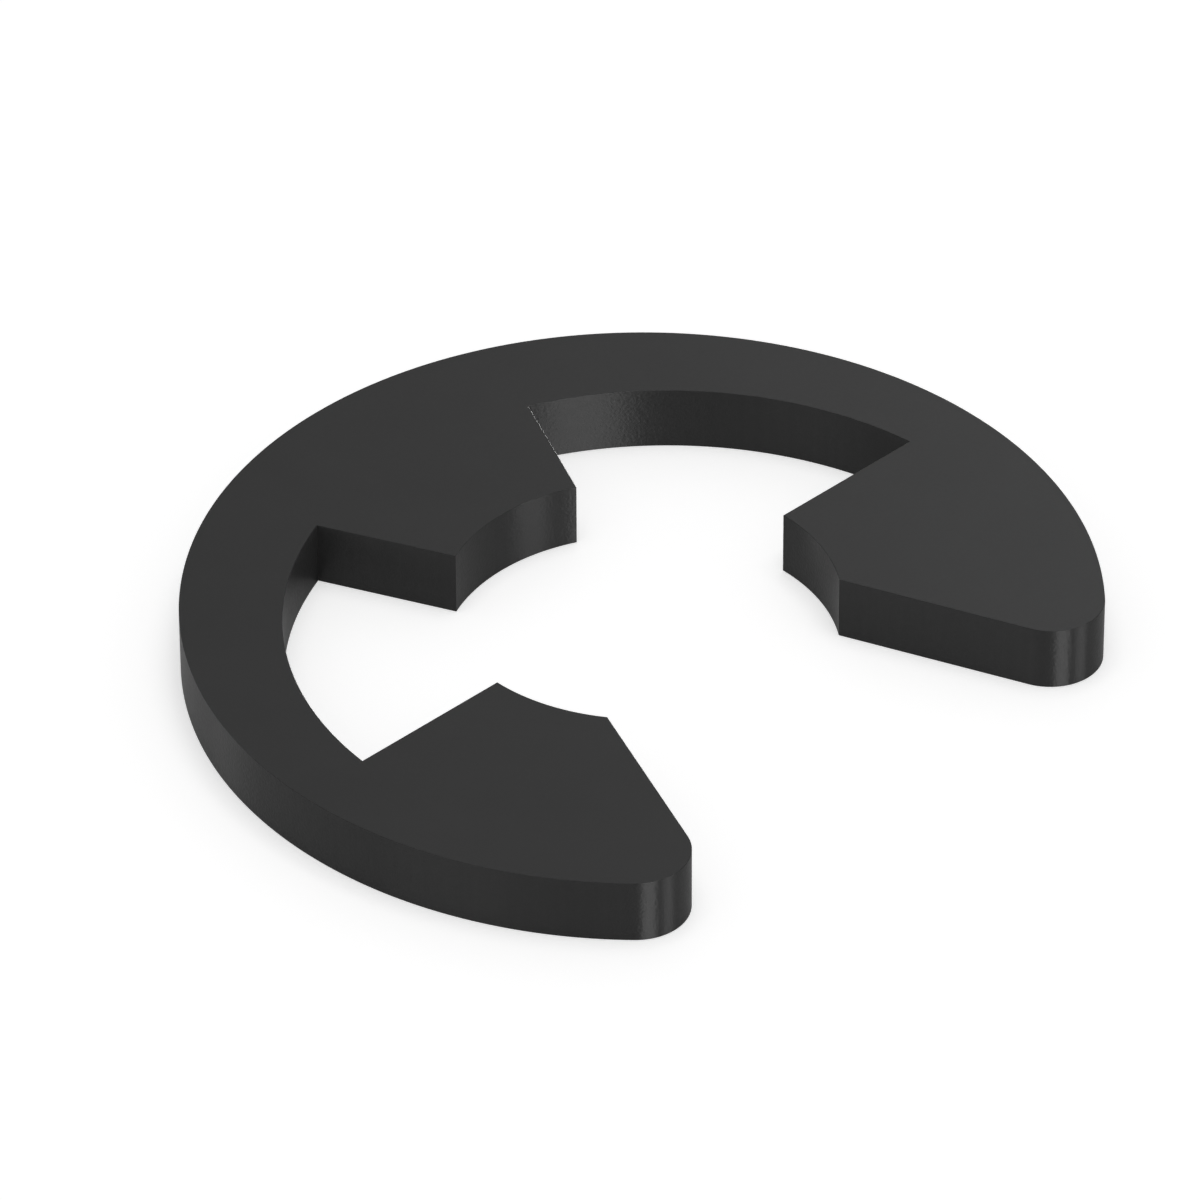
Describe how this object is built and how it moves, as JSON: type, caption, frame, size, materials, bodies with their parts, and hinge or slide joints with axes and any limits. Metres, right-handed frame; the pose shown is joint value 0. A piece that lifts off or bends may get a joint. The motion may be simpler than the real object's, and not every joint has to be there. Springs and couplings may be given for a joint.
{
  "type": "e clip",
  "caption": "Flat open retaining ring in the shape of an E: a middle prong and two lugs grip a groove in a shaft, and its faces hold a part in place along the shaft.",
  "frame": {"origin": "on the axis of the shaft that the clip grips, at the clip's lower face", "axes": "+Z along the shaft's axis, through the clip's thickness; the mouth opens towards -Y and the middle prong lies on +Y; the clip mirrors itself across the YZ plane"},
  "size_m": [0.0092, 0.008, 0.0007],
  "materials": {
    "blackened_steel": "matte"
  },
  "bodies": {
    "root": {"e_clip": "blackened_steel"}
  },
  "joints": []
}
